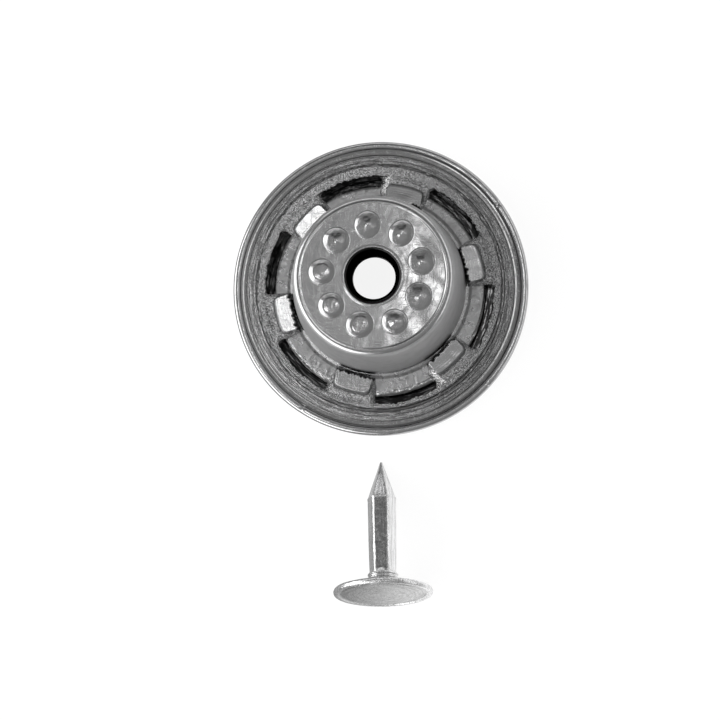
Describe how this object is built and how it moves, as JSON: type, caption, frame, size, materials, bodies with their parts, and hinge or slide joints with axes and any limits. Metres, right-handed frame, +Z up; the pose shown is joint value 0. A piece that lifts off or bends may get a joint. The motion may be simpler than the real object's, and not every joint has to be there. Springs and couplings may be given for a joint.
{
  "type": "jeans button with tack",
  "caption": "Metal jeans button: cast ring cap with open centre, pressed shank clamped by folded claws, lying on its front beside its tack.",
  "frame": {"origin": "on the floor, in the middle of the space that the button and its tack take together", "axes": "+Z up along the button's axis, out of its back; +Y from the tack towards the button; +X to the right of both"},
  "size_m": [0.02, 0.0316, 0.0086],
  "materials": {
    "cap_casting": "die-cast zinc, nickel plated: rim polished, claw ring left grainy",
    "shank_sheet": "pressed sheet, polished nickel plate with fine scuffs",
    "tack_metal": "bright drawn aluminium"
  },
  "bodies": {
    "root": {"cap": "cap_casting", "shank": "shank_sheet", "tack": "tack_metal"}
  },
  "joints": []
}
